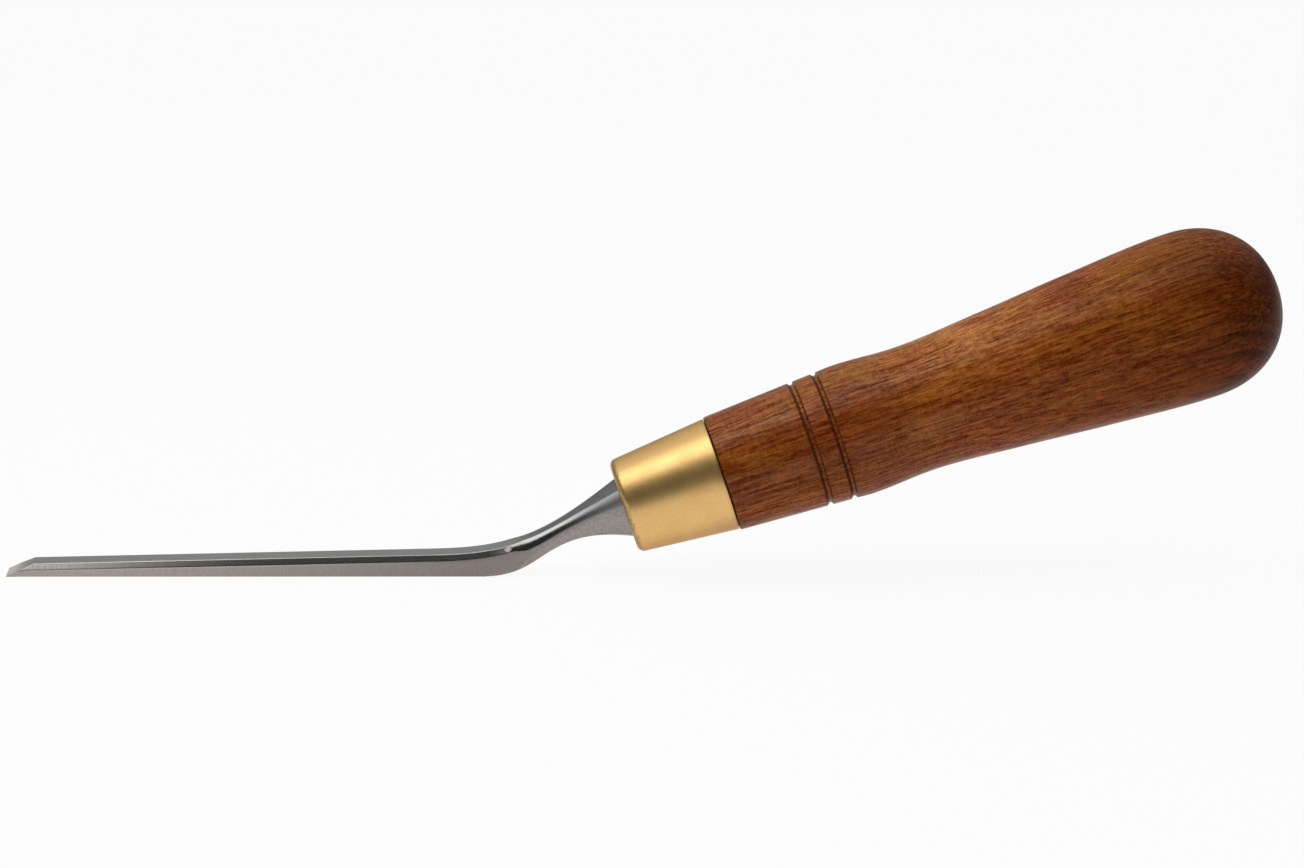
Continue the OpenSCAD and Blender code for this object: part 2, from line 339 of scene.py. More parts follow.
# ferrule: turned brass, rounded at the front rim
ferruleShape = {
    "length": 21.0, "frontRadius": 9.85, "rearRadius": 11.9, "wall": 1.2, "frontWall": 2.0,
    "rimRadius": 1.5, "rearChamfer": 0.2, "hole": 4.384,
    "rimSteps": 14, "sideSteps": 12, "chamferSteps": 4, "steps": 160, "sharpAngle": 40,
}
brassFinish = {
    "light": (0.985, 0.632, 0.240, 1), "deep": (0.85, 0.525, 0.176, 1), "tarnish": (0.32, 0.20, 0.075, 1),
    "edge": (0.88, 0.68, 0.45, 1),  # colour at a glancing look
    # turning marks, and the scale of clouds and grit
    "rings": (90, 90, 6000), "broad": (70, 70, 2600), "clouds": 120.0, "grit": 1600.0,
    "cloudShare": 0.7, "ringShare": 0.25, "gritShare": 0.14,
    "underShade": (0.40, 0.17, 0.11, 1), "lowerSide": (5.2, 10.0), "underShadeShare": 0.36,  # painted shade on the ferrule's lower side, growing over lowerSide, mm below the axis
    # tarnish at the front rim and at the rear edge, mm from the front
    "rim": (-0.5, 1.1), "rimShare": 0.85, "rimRagged": 0.9, "rear": (20.2, 21.0), "rearShare": 0.35,
    "roughness": (0.36, 0.42), "lacquer": 0.5, "lacquerRoughness": 0.26,
    "bump": (0.12, 0.012),  # strength, and depth in mm
}


def makeBrass(f):
    material, tree, shader = newMaterial("turnedBrass")
    local = onAxis(tree)
    place = addNode(tree, "ShaderNodeSeparateXYZ", {0: local}).outputs
    rings = fineLines(tree, mapped(tree, local, f["rings"]), (0.34, 0.66))
    broad = fineLines(tree, mapped(tree, local, f["broad"]), (0.35, 0.65))
    clouds = mottle(tree, local, f["clouds"])
    grit = mottle(tree, local, f["grit"], 0.22)
    # painted shade: the lower side of the ferrule is darker
    under = fade(tree, place["X"], f["lowerSide"], (0.0, f["underShadeShare"]))
    ragged = less(tree, place["Z"], times(tree, grit, f["rimRagged"] * mm))
    rim = fade(tree, ragged, f["rim"], (f["rimShare"], 0.0))
    rear = fade(tree, place["Z"], f["rear"], (0.0, f["rearShare"]))
    colour = f["light"]
    for share, layer in ((times(tree, clouds, f["cloudShare"]), f["deep"]),
                         (times(tree, rings, f["ringShare"]), f["deep"]),
                         (times(tree, grit, f["gritShare"]), f["tarnish"]),
                         (under, f["underShade"]),
                         (calc(tree, "MAXIMUM", rim, rear), f["tarnish"])):
        colour = tint(tree, share, colour, layer)
    wear = sumOf(tree, (broad, 0.6), (clouds, 0.4))
    feed(tree, shader, {
        "Base Color": colour, "Metallic": 1.0, "Specular Tint": f["edge"],
        "Roughness": between(tree, wear, f["roughness"]),
        "Coat Weight": f["lacquer"], "Coat Roughness": f["lacquerRoughness"],
    })
    addBump(tree, shader, sumOf(tree, (rings, 0.5), (grit, 0.5)), f["bump"])
    return material


def ferruleProfile(s):
    taper = (s["rearRadius"] - s["frontRadius"]) / s["length"]
    lean = math.degrees(math.atan(taper))
    rim, chamfer, steps = s["rimRadius"], s["rearChamfer"], s["sideSteps"]
    rimMiddle = s["frontRadius"] + rim * taper - rim / math.cos(math.radians(lean))
    points = [(s["hole"], 0.0), ((s["hole"] + rimMiddle) / 2, 0.0)]
    points += arc((rimMiddle, rim), rim, -90, -lean, s["rimSteps"])
    start = points[-1]
    end = (s["rearRadius"] - chamfer * taper, s["length"] - chamfer)
    points += [(mix(start[0], end[0], i / steps), mix(start[1], end[1], i / steps)) for i in range(1, steps)]
    points += arc((end[0] - chamfer, end[1]), chamfer, 0, 90, s["chamferSteps"])
    inner = s["frontRadius"] + taper * s["frontWall"] - s["wall"]
    points += [(s["rearRadius"] - s["wall"], s["length"]), (inner, s["frontWall"])]
    return points + [(s["hole"], s["frontWall"])]


def makeFerrule(s, f):
    bm = turnedMesh(ferruleProfile(s), True, s["steps"])
    finishPiece(bm, "ferruleTurned", makeBrass(f), "ferrule", s["sharpAngle"])


makeFerrule(ferruleShape, brassFinish)


# handle: turned and stained wood
handleShape = {
    # distance from the ferrule's front and radius, at the shoulder, land, bead, waist, flank, swell and palm
    "stations": ((21.2, 12.15), (45.4, 13.55), (49.8, 13.8), (62.8, 13.2),
                 (81.8, 14.5), (100.8, 16.15), (122.8, 17.5)),
    "shoulderChamfer": 0.3,
    "grooves": (40.3, 45.4), "grooveFront": 0.62, "grooveRear": 0.72, "grooveDepth": 0.58,
    "grooveLean": 1.3, "grooveFullness": 0.8, "grooveGap": 0.05,  # no station nearer to a groove than the gap
    "buttLength": 18.6, "buttFullness": 2.2,
    "spigotFront": (8.795, 2.0), "spigotRear": (10.67, 21.2),
    "bore": ((0.0, 63.0), (2.3, 63.0), (4.38, 2.0)),
    "curveSteps": 22, "grooveSteps": 14, "chamferSteps": 5, "buttSteps": 40, "steps": 192, "sharpAngle": 40,
}
woodFinish = {
    "golden": (0.370, 0.096, 0.0100, 1), "red": (0.335, 0.069, 0.0100, 1), "dark": (0.135, 0.029, 0.004, 1),
    "drift": (60, 60, 20), "driftSwing": 1.6,  # the grain wanders by up to half of this, mm
    # growth rings: colour of the dark part, the pith across the axis and the gaps in mm
    "late": (0.055, 0.012, 0.002, 1), "lateReach": (0.05, 0.65), "pith": (-47.6, 33.1),
    "ringStart": 70.0, "ringGap": 2.45, "fineGap": 0.65,
    "endGrain": (118.0, 129.0),  # the cut turns from long grain to end grain along here, mm
    "lateShares": (0.12, 0.74), "fineShare": 0.45,  # strength of the rings on long grain and end grain
    "faintRings": (67.0, 69.5), "faintShare": 0.22,  # nearer to the pith the rings are faint, mm
    # fibres, pores and streaks along the grain, marks of the tool across it
    "fibres": (1800, 1800, 70), "flecks": (2400, 2400, 700), "pores": (2400, 2400, 210),
    "bands": (420, 420, 22), "scratches": (500, 500, 4000), "specks": 4200.0,
    "fibreShare": 0.42, "speckShare": 0.19, "fleckShare": 0.24, "scratchShare": 0.15,
    "bandShare": 0.15, "poreShare": 0.60, "toneReach": (0.255, 0.745),
    "shade": (0.54, 0.30, 0.04, 1), "shine": (1.44, 1.82, 2.6, 1),  # darkest and palest fibre
    "broad": 85.0, "patches": 150.0, "patchDark": (0.86, 0.84, 0.82, 1), "patchPale": (1.13, 1.13, 1.13, 1),
    # paler wood at the waist; above it the upper side is partly paler wood, partly painted sheen: middle and
    # half length, and how far above the axis, mm
    "waist": (76.0, 26.0), "waistGlow": (1.20, 1.26, 1.40, 1),
    "upperSide": (-4.0, -11.0), "upperPaleAndSheen": (1.27, 1.46, 1.38, 1),
    # painted sheen on the upper side, painted shade under the palm and painted light under the front; within
    # fullRadius they fade, mm
    "fullRadius": 13.0, "topRise": (0.50, 0.95), "underRise": (0.10, -0.60),
    "topPaintedSheen": (1.12, 1.36, 1.70, 1),
    "palmFrom": (80.0, 108.0), "palmTo": (112.0, 124.0), "palmPaintedShade": (0.84, 0.78, 0.70, 1),
    "front": (54.0, 34.0), "frontUnderPaintedLight": (1.22, 1.24, 1.0, 1),
    # marks of the lathe, in patches and most on the upper side
    "marks": (150, 150, 1500), "markPale": (1.10, 1.14, 1.20, 1), "markDark": (0.88, 0.85, 0.82, 1),
    "markPatches": 70.0, "markRise": (0.0, 0.8), "markShares": (0.35, 1.0),
    # painted shade darkens the butt along here, mm, less on the upper side, which the lamp lights
    "butt": (101.0, 146.0), "buttPaintedShade": (0.31, 0.22, 0.11, 1), "buttTop": 0.62,
    # middle, half width and strength of the dark lines round the handle, mm from the ferrule's front: stain
    # at the seam and the grooves, and painted shade on the grooves' shadowed walls
    "lines": ((21.22, 0.20, 0.60), (39.84, 0.46, 0.74), (40.86, 0.22, 0.50),
              (44.99, 0.46, 0.74), (45.98, 0.22, 0.50)),
    "stainAndShade": (0.052, 0.019, 0.006, 1), "lineCore": 0.35,  # share of a line that has its full strength
    "roughness": (0.30, 0.40), "gloss": 0.03,
    # the lacquer is thinner towards the palm, mm, and shines most on the palest fibres
    "lacquer": 0.28, "lacquerRoughness": 0.28, "mattReach": (60.0, 118.0), "matt": 0.05,
    "lacquerShares": (0.15, 1.85),
    "bump": (0.35, 0.03),  # strength, and depth in mm
}


def makeWood(f):
    material, tree, shader = newMaterial("stainedWood")
    local = onAxis(tree)
    place = addNode(tree, "ShaderNodeSeparateXYZ", {0: local}).outputs
    x, z = place["X"], place["Z"]
    noise = {"Vector": mapped(tree, local, f["drift"]), "Scale": 1.0, "Detail": 2.0}
    drift = addNode(tree, "ShaderNodeTexNoise", noise).outputs["Color"]
    swing = (f["driftSwing"] * mm, f["driftSwing"] * mm, 0)
    shift = vectorCalc(tree, "MULTIPLY", vectorCalc(tree, "SUBTRACT", drift, (0.5, 0.5, 0.5)), swing)
    grain = vectorCalc(tree, "ADD", local, shift)
    # growth rings, round a pith outside the handle
    pith = (-f["pith"][0] * mm, -f["pith"][1] * mm, 0)
    reach = vectorCalc(tree, "LENGTH", mapped(tree, grain, (1, 1, 0), location=pith))
    turns = calc(tree, "DIVIDE", less(tree, reach, f["ringStart"] * mm), f["ringGap"] * mm)
    late = spread(tree, calc(tree, "FRACT", turns), f["lateReach"], (1.0, 0.0), smooth=True)
    fine = calc(tree, "PINGPONG", calc(tree, "DIVIDE", reach, f["fineGap"] * mm), 0.5)
    endGrain = fade(tree, z, f["endGrain"])
    shown = times(tree, endGrain, fade(tree, reach, f["faintRings"], (f["faintShare"], 1.0)))
    # fibres and pores along the grain, marks of the tool across it
    fibres = fineLines(tree, mapped(tree, grain, f["fibres"]))
    flecks = fineLines(tree, mapped(tree, grain, f["flecks"], location=(3, 7, 1)))
    pores = fineLines(tree, mapped(tree, grain, f["pores"], location=(9, 2, 5)), (0.57, 0.67), 1.0)
    bands = fineLines(tree, mapped(tree, grain, f["bands"]), (0.34, 0.66))
    scratches = fineLines(tree, mapped(tree, local, f["scratches"]))
    specks = mottle(tree, local, f["specks"])
    broad = mottle(tree, mapped(tree, local, (1, 1, 0.5)), f["broad"], 0.12)
    patches = mottle(tree, mapped(tree, local, (1, 1, 0.6)), f["patches"])
    tone = sumOf(tree, (fibres, f["fibreShare"]), (specks, f["speckShare"]),
                 (flecks, f["fleckShare"]), (scratches, f["scratchShare"]))
    tone = spread(tree, tone, f["toneReach"])
    # paler and darker places, some of them painted light and shade; rise is how far up a point lies round the
    # axis, 1 on top and -1 underneath
    middle, half = f["waist"]
    glow = fade(tree, apart(tree, z, middle * mm), (0.0, half), (1.0, 0.0))
    # upper side at the waist: partly paler wood, partly painted sheen
    upper = times(tree, glow, fade(tree, x, f["upperSide"]))
    radius = vectorCalc(tree, "LENGTH", mapped(tree, local, (1, 1, 0)))
    radius = calc(tree, "MAXIMUM", radius, f["fullRadius"] * mm)
    rise = calc(tree, "DIVIDE", times(tree, x, -1.0), radius)
    # painted sheen on the upper side
    top = spread(tree, rise, f["topRise"], smooth=True)
    under = spread(tree, rise, f["underRise"], smooth=True)
    palm = times(tree, fade(tree, z, f["palmFrom"]), fade(tree, z, f["palmTo"], (1.0, 0.0)))
    # painted shade under the palm
    palmUnder = times(tree, under, palm)
    # painted light under the front
    frontUnder = times(tree, under, fade(tree, z, f["front"]))
    lathe = fineLines(tree, mapped(tree, local, f["marks"]), (0.34, 0.66))
    marked = times(tree, spread(tree, rise, f["markRise"], f["markShares"]),
                   mottle(tree, local, f["markPatches"], 0.16))
    # painted shade along the butt, lighter on the upper side
    butt = times(tree, fade(tree, z, f["butt"]), between(tree, top, (1.0, f["buttTop"])))
    colour = tint(tree, broad, f["golden"], f["red"])
    for share, shade in ((glow, f["waistGlow"]), (upper, f["upperPaleAndSheen"]), (top, f["topPaintedSheen"]),
                         (palmUnder, f["palmPaintedShade"]), (frontUnder, f["frontUnderPaintedLight"]),
                         (marked, tint(tree, lathe, f["markDark"], f["markPale"])),
                         (1.0, tint(tree, patches, f["patchDark"], f["patchPale"]))):
        colour = tint(tree, share, colour, shade, "MULTIPLY")
    for share, streak in ((times(tree, bands, f["bandShare"]), f["dark"]),
                          (times(tree, late, between(tree, shown, f["lateShares"])), f["late"]),
                          (times(tree, times(tree, fine, endGrain), f["fineShare"]), f["dark"]),
                          (times(tree, pores, f["poreShare"]), f["dark"])):
        colour = tint(tree, share, colour, streak)
    colour = tint(tree, 1.0, colour, tint(tree, tone, f["shade"], f["shine"]), "MULTIPLY")
    colour = tint(tree, butt, colour, f["buttPaintedShade"], "MULTIPLY")
    # dark lines: stain at the seam and the grooves, with painted shade in the grooves
    stainedAndShaded = 0.0
    for middle, half, strength in f["lines"]:
        line = fade(tree, apart(tree, z, middle * mm), (half * f["lineCore"], half), (strength, 0.0))
        colour = tint(tree, line, colour, f["stainAndShade"])
        stainedAndShaded = calc(tree, "MAXIMUM", stainedAndShaded, line)
    worn = sumOf(tree, (pores, 0.6), (broad, 0.4))
    lacquer = fade(tree, z, f["mattReach"], (f["lacquer"], f["matt"]), smooth=False)
    lacquer = times(tree, lacquer, less(tree, 1.0, stainedAndShaded))
    feed(tree, shader, {
        "Base Color": colour, "Roughness": between(tree, worn, f["roughness"]),
        "Specular IOR Level": f["gloss"],
        "Coat Weight": times(tree, lacquer, between(tree, tone, f["lacquerShares"])),
        "Coat Roughness": f["lacquerRoughness"],
    })
    addBump(tree, shader, less(tree, tone, pores), f["bump"])
    return material


def chord(a, b):
    return (b[1] - a[1]) / (b[0] - a[0])


def bodyRadius(s, z):
    p = s["stations"]
    slopes = (chord(p[0], p[1]), chord(p[0], p[2]), 0, 0, chord(p[3], p[5]), chord(p[4], p[6]), 0)
    i = max(k for k in range(len(p) - 1) if z >= p[k][0] or k == 0)
    run = p[i + 1][0] - p[i][0]
    u = (z - p[i][0]) / run
    bend = slopes[i] * u * (1 - u) ** 2 - slopes[i + 1] * u * u * (1 - u)
    return mix(p[i][1], p[i + 1][1], ease(u)) + run * bend


def grooveProfile(s, g):
    points, steps = [], s["grooveSteps"]
    for i in range(steps + 1):
        u = (1 - math.cos(math.pi * i / steps)) / 2
        z = mix(g - s["grooveFront"], g + s["grooveRear"], u)
        dip = 0.0
        if 0 < i < steps:
            dip = s["grooveDepth"] * math.sin(math.pi * u ** s["grooveLean"]) ** s["grooveFullness"]
        points.append((bodyRadius(s, z) - dip, z))
    return points


def buttProfile(s):
    start, fullest = s["stations"][-1]
    power = 2 / s["buttFullness"]
    points = []
    for i in range(s["buttSteps"] + 1):
        a = math.pi / 2 * i / s["buttSteps"]
        r, z = fullest * max(0.0, math.cos(a)) ** power, start + s["buttLength"] * math.sin(a) ** power
        points.append((r, z))
    points[-1] = (0.0, points[-1][1])
    return points


def handleProfile(s):
    p, chamfer = s["stations"], s["shoulderChamfer"]
    front, rear = s["grooveFront"] + s["grooveGap"], s["grooveRear"] + s["grooveGap"]
    start, shoulder = p[0]
    heights = []
    for a, b in zip(p, p[1:]):
        heights += [mix(a[0], b[0], i / s["curveSteps"]) for i in range(s["curveSteps"])]
    clear = [z for z in heights if z > start + chamfer
             and all(z < g - front or z > g + rear for g in s["grooves"])]
    body = [(bodyRadius(s, z), z) for z in clear]
    for g in s["grooves"]:
        body += grooveProfile(s, g)
    body.sort(key=lambda point: point[1])
    shoulderEdge = arc((shoulder - chamfer, start + chamfer), chamfer, -90, 0, s["chamferSteps"])
    return list(s["bore"]) + [s["spigotFront"], s["spigotRear"]] + shoulderEdge + body + buttProfile(s)


def makeHandle(s, f):
    bm = turnedMesh(handleProfile(s), False, s["steps"])
    finishPiece(bm, "handleTurned", makeWood(f), "handle", s["sharpAngle"])


makeHandle(handleShape, woodFinish)


# blade: ground bar, cranked neck and bolster forged in one, with the tang behind
bladeShape = {
    "width": 6.35, "backLength": 96.0, "sweepLead": 10.0, "tipThick": 2.4, "rootThick": 4.4,
    "edgeAngle": 25.0, "tipLead": 2.0,  # lead ahead of the cutting edge, which the end bevel cuts off
    "bevelHeight": 1.2, "bevelIn": 0.8,
    "slope": 19.5, "run": 29.0, "rise": 14.0,
    "heelHold": 13.0, "underReach": 19.0, "underFlare": 25.0,
    "sweepHold": 16.0, "upperReach": 20.0, "upperFlare": 20.0,
    "grindPastHeel": 5.5, "shoulderRun": 4.5, "shoulderHeight": 2.3, "shoulderIn": 1.5, "shoulderBulge": 0.35,
    "nickHeight": 0.1, "nickRun": 0.5,  # the small step where the grinding of the side bevels stops
    "neckPastHeel": 14.0, "neckWidth": 6.0, "bolsterRadius": 6.25, "bolsterRound": 0.8, "crown": 1.35,
    "tangLength": 62.0, "tangWidth": 6.0, "tangTip": 3.0,
    "wedgeSections": 14, "crankSections": 90, "nickSections": 5, "nickGap": 0.002,
    "bottomSteps": 4, "landSteps": 5, "bevelSteps": 8, "topSteps": 4,
    "corners": (-45.0, 15.0, 46.0),  # where the section's corners end up on the round of the bolster, degrees
    # edges sharper than edgeFrom degrees are broken, above the cutting edge and ahead of the bolster, mm
    "edgeRound": 0.07, "edgeFrom": 14.0, "edgeAbove": 0.02, "edgeTo": 118.0, "edgeSteps": 2, "sharpAngle": 35,
}
steelFinish = {
    "light": (0.47, 0.47, 0.465, 1), "deep": (0.34, 0.34, 0.335, 1), "polished": (0.36, 0.358, 0.35, 1),
    # the land's colour carries a painted reflection: warm from the wood and brass, and painted shade
    # darkening it towards the crank
    "landTip": (0.475, 0.415, 0.385, 1), "landCrankShaded": (0.292, 0.250, 0.234, 1), "landReach": (15.0, 95.0),
    "neckSide": (0.365, 0.320, 0.300, 1), "neckTopSkinAndShade": (0.15, 0.15, 0.148, 1), "neckTopShare": 0.8,
    # pale raw steel for the ticks and the rough spot, also the colour of the painted highlights
    "roughAndHighlight": (0.82, 0.75, 0.69, 1), "footShade": (0.05, 0.05, 0.05, 1),
    "ground": (0.86, 0.79, 0.75, 1), "groundReach": (1.0, 5.2),  # the end bevel by the cutting edge, mm
    "endFace": (0.02, 0.05), "faceBlur": 0.03,  # how the faces are told apart, mm and round the section
    # grinding lines along the top and across the land, marks across the side bevels
    "lengthwise": (45, 5200, 5200), "crosswise": (3600, 800, 800), "ticks": (3400, 60, 60),
    "lengthShare": 0.55, "tickShare": 0.5, "stripes": (0.90, 1.10),
    "ticked": (8.0, 66.0), "tickedFall": 2.3,  # the marks fade out along here, mm
    "clouds": 180.0, "cloudShare": 0.15, "grain": 2400.0, "grains": (0.76, 1.24), "grainBump": 2.5,
    # painted shade at the foot of the side bevels, painted highlights on their crest and on the lip of the
    # land, round the section; they fade along the blade, mm
    "foot": (2.06, 2.26), "footShare": 0.45, "crest": (2.78, 2.94), "crestShare": 0.6,
    "lipHighlight": (1.82, 1.94), "lipShare": 0.55, "edgesFade": (20.0, 85.0),
    # where the forged skin, with painted shade on the neck's top, the neck's colour and the satin start and
    # are full, mm
    "forged": (101.0, 108.0), "neck": (102.0, 109.0), "satin": (107.0, 124.0), "satinShare": 0.62,
    # line that ends the ground land: a point on it and its slope in degrees, half width, where its top fades
    "landEnd": (103.84, 1.74, 49.0), "ridge": (0.06, 0.20), "ridgeShare": 0.60, "ridgeTop": (2.6, 4.4),
    # rough spot where the grinding stops, painted pale as a highlight too: middle and half length in mm, the
    # same round the section
    "nick": (101.25, 0.85), "nickAround": (2.55, 0.55), "nickEdge": (0.50, 1.45), "nickRagged": 0.9,
    "nickGrit": 2200.0, "nickRoughness": 0.4,
    "runOut": (0.5, 4.0), "runOutShare": 0.35, "runOutEnd": (101.0, 102.0),
    "sideRoughness": (0.19, 0.56), "topRoughness": (0.24, 0.29), "landRoughness": (0.33, 0.37),
    "groundRoughness": 0.30,
    "bump": (0.08, 0.01),  # strength, and depth in mm
}


def lineDistance(tree, place, x, z, slope):  # from a slanting line seen from the side, in metres
    a = math.radians(slope)
    return less(tree, times(tree, less(tree, place["X"], x * mm), math.sin(a)),
                times(tree, less(tree, place["Z"], z * mm), math.cos(a)))


def makeSteel(f, edgeAngle):
    material, tree, shader = newMaterial("groundSteel")
    coords = addNode(tree, "ShaderNodeTexCoord").outputs["Object"]
    place = addNode(tree, "ShaderNodeSeparateXYZ", {0: coords}).outputs
    x = place["X"]
    around = addNode(tree, "ShaderNodeAttribute", attribute_name="around").outputs["Fac"]
    blur = f["faceBlur"]
    depth = lineDistance(tree, place, 0.0, 0.0, edgeAngle)
    endFace = fade(tree, calc(tree, "ABSOLUTE", depth), f["endFace"], (1.0, 0.0), smooth=False)
    top = calc(tree, "MAXIMUM", endFace, spread(tree, around, (3 - blur, 3 + blur)))
    land = times(tree, less(tree, 1.0, endFace), spread(tree, around, (2 - blur, 2 + blur), (1.0, 0.0)))
    side = times(tree, less(tree, 1.0, top), less(tree, 1.0, land))
    # marks and where they show
    lengthwise = fineLines(tree, mapped(tree, coords, f["lengthwise"]), (0.32, 0.68))
    crosswise = fineLines(tree, mapped(tree, coords, f["crosswise"]))
    ticks = fineLines(tree, mapped(tree, coords, f["ticks"]), (0.40, 0.62), 1.0)
    ticked = calc(tree, "POWER", fade(tree, x, f["ticked"], (1.0, 0.0), smooth=False), f["tickedFall"])
    clouds = mottle(tree, coords, f["clouds"])
    grain = mottle(tree, coords, f["grain"])
    ground = times(tree, endFace, fade(tree, x, f["groundReach"], (1.0, 0.0)))
    satin = fade(tree, x, f["satin"], (0.0, f["satinShare"]))
    forged = fade(tree, x, f["forged"])
    tipward = fade(tree, x, f["edgesFade"], (1.0, 0.0), smooth=False)
    # painted shade at the foot of the side bevels, painted highlights on their crest and the land's lip
    foot = times(tree, tipward, spread(tree, around, f["foot"], (f["footShare"], 0.0)))
    crest = times(tree, tipward, spread(tree, around, f["crest"], (0.0, f["crestShare"])))
    lipHighlight = times(tree, tipward, spread(tree, around, f["lipHighlight"], (0.0, f["lipShare"])))
    # the ground land ends on a slanting line at the crank
    past = calc(tree, "ABSOLUTE", lineDistance(tree, place, *f["landEnd"]))
    ridge = times(tree, fade(tree, past, f["ridge"], (f["ridgeShare"], 0.0)),
                  fade(tree, place["Z"], f["ridgeTop"], (1.0, 0.0)))
    # rough spot where the grinding of the side bevels stops, painted pale as a highlight too
    middle, half = f["nick"]
    aroundMiddle, aroundHalf = f["nickAround"]
    lengthOff = calc(tree, "DIVIDE", less(tree, x, middle * mm), half * mm)
    aroundOff = calc(tree, "DIVIDE", less(tree, around, aroundMiddle), aroundHalf)
    grit = mottle(tree, coords, f["nickGrit"])
    off = sumOf(tree, (lengthOff, lengthOff), (aroundOff, aroundOff), (grit, f["nickRagged"]))
    roughAndHighlight = times(tree, spread(tree, off, f["nickEdge"], (1.0, 0.0), smooth=True), side)
    # colours of the top, the side bevels and the land
    topColour = tint(tree, times(tree, lengthwise, f["lengthShare"]), f["light"], f["deep"])
    topColour = tint(tree, ground, topColour, f["ground"])
    # the neck's top: forged skin, darkened further as painted shade
    topColour = tint(tree, times(tree, forged, f["neckTopShare"]), topColour, f["neckTopSkinAndShade"])
    tickColour = tint(tree, times(tree, ticks, f["tickShare"]), f["roughAndHighlight"], f["light"])
    sideColour = tint(tree, ticked, f["polished"], tickColour)
    for share, layer in ((satin, f["light"]), (foot, f["footShade"]), (crest, f["roughAndHighlight"])):
        sideColour = tint(tree, share, sideColour, layer)
    # painted shade: the land darkens from the tip to the crank
    landColour = tint(tree, fade(tree, x, f["landReach"], smooth=False), f["landTip"], f["landCrankShaded"])
    landColour = tint(tree, fade(tree, x, f["neck"]), landColour, f["neckSide"])
    skin = tint(tree, forged, between(tree, crosswise, f["stripes"]), between(tree, grain, f["grains"]))
    landColour = tint(tree, 1.0, landColour, skin, "MULTIPLY")
    for share, layer in ((lipHighlight, f["roughAndHighlight"]), (ridge, f["landTip"])):
        landColour = tint(tree, share, landColour, layer)
    colour = tint(tree, land, tint(tree, top, sideColour, topColour), landColour)
    colour = tint(tree, times(tree, clouds, f["cloudShare"]), colour, f["deep"])
    colour = tint(tree, roughAndHighlight, colour, f["roughAndHighlight"])
    # the side bevels turn from dull to polished and to satin at the neck
    fromNick = apart(tree, x, middle * mm)
    runOut = times(tree, fade(tree, fromNick, f["runOut"], (f["runOutShare"], 0.0), smooth=False),
                   fade(tree, x, f["runOutEnd"], (1.0, 0.0), smooth=False))
    dull = calc(tree, "MAXIMUM", ticked, calc(tree, "MAXIMUM", satin, runOut))
    topRough = calc(tree, "ADD", between(tree, lengthwise, f["topRoughness"]),
                    times(tree, ground, f["groundRoughness"]))
    roughness = sumOf(tree, (top, topRough), (side, between(tree, dull, f["sideRoughness"])),
                      (land, between(tree, crosswise, f["landRoughness"])), (roughAndHighlight, f["nickRoughness"]))
    feed(tree, shader, {"Base Color": colour, "Metallic": 1.0, "Roughness": roughness})
    height = sumOf(tree, (lengthwise, top), (crosswise, land), (times(tree, grain, forged), f["grainBump"]))
    addBump(tree, shader, height, f["bump"])
    return material


def heading(degrees):
    return Vector((math.cos(math.radians(degrees)), math.sin(math.radians(degrees))))


def bezier(p, t):
    return p[0] * (1 - t) ** 3 + p[1] * 3 * t * (1 - t) ** 2 + p[2] * 3 * t * t * (1 - t) + p[3] * t ** 3


def crankRails(s):
    taperLength = s["backLength"] - s["sweepLead"]
    taper = math.degrees(math.atan((s["rootThick"] - s["tipThick"]) / taperLength))
    middle = Vector((s["backLength"] + s["run"], s["rise"]))
    upward = heading(s["slope"] + 90)
    heel, sweep = Vector((s["backLength"], 0)), Vector((taperLength, s["rootThick"]))
    underEnd, upperEnd = middle - upward * s["bolsterRadius"], middle + upward * s["bolsterRadius"]
    under = (heel, heel + heading(0) * s["heelHold"],
             underEnd - heading(s["slope"] - s["underFlare"]) * s["underReach"], underEnd)
    upper = (sweep, sweep + heading(taper) * s["sweepHold"],
             upperEnd - heading(s["slope"] + s["upperFlare"]) * s["upperReach"], upperEnd)
    flatShare = s["sweepLead"] / (s["sweepLead"] + (underEnd - heel).length)
    start = Vector((taperLength, 0))

    def underRail(t):
        if t < flatShare:
            return start.lerp(heel, t / flatShare)
        return bezier(under, (t - flatShare) / (1 - flatShare))

    def upperRail(t):
        return bezier(upper, t)

    return underRail, upperRail


def stationAt(rail, x):
    low, high = 0.0, 1.0
    while high - low > 1e-5:
        middle = (low + high) / 2
        low, high = (middle, high) if rail(middle)[0] < x else (low, middle)
    return low


def stretch(a, b, steps):
    return [a.lerp(b, i / steps) for i in range(steps)]


def bevelledSide(s, w, h, lean, drop, bulge):
    corner, shoulder, edge = Vector((w, 0)), Vector((w, h - drop)), Vector((w - lean, h))
    out = Vector((drop, lean)).normalized()
    points = stretch(Vector((0, 0)), corner, s["bottomSteps"]) + stretch(corner, shoulder, s["landSteps"])
    for i in range(s["bevelSteps"]):
        u = i / s["bevelSteps"]
        points.append(shoulder.lerp(edge, u) + out * (4 * u * (1 - u) * bulge))
    return points + stretch(edge, Vector((0, h)), s["topSteps"]) + [Vector((0, h))]


def roundSide(s, w, h):
    low, land, top = s["corners"]
    angles = []
    for a, b, name in ((-90, low, "bottomSteps"), (low, land, "landSteps"), (land, top, "bevelSteps")):
        angles += [math.radians(a + (b - a) * i / s[name]) for i in range(s[name])]
    points = [Vector((w * math.cos(a), h / 2 + h / 2 * math.sin(a))) for a in angles]
    corner = math.radians(top)
    fall = h / 2 * (1 - math.sin(corner))
    for i in range(s["topSteps"], -1, -1):
        u = i / s["topSteps"]
        points.append(Vector((w * math.cos(corner) * u, h - fall * u ** s["crown"])))
    return points


def aroundValues(s):
    # how far round the section each point of one side lies: 1 and 2 bound the land, 3 is the edge of the top
    counts = (s["bottomSteps"], s["landSteps"], s["bevelSteps"], s["topSteps"])
    return [zone + i / count for zone, count in enumerate(counts) for i in range(count)] + [4.0]


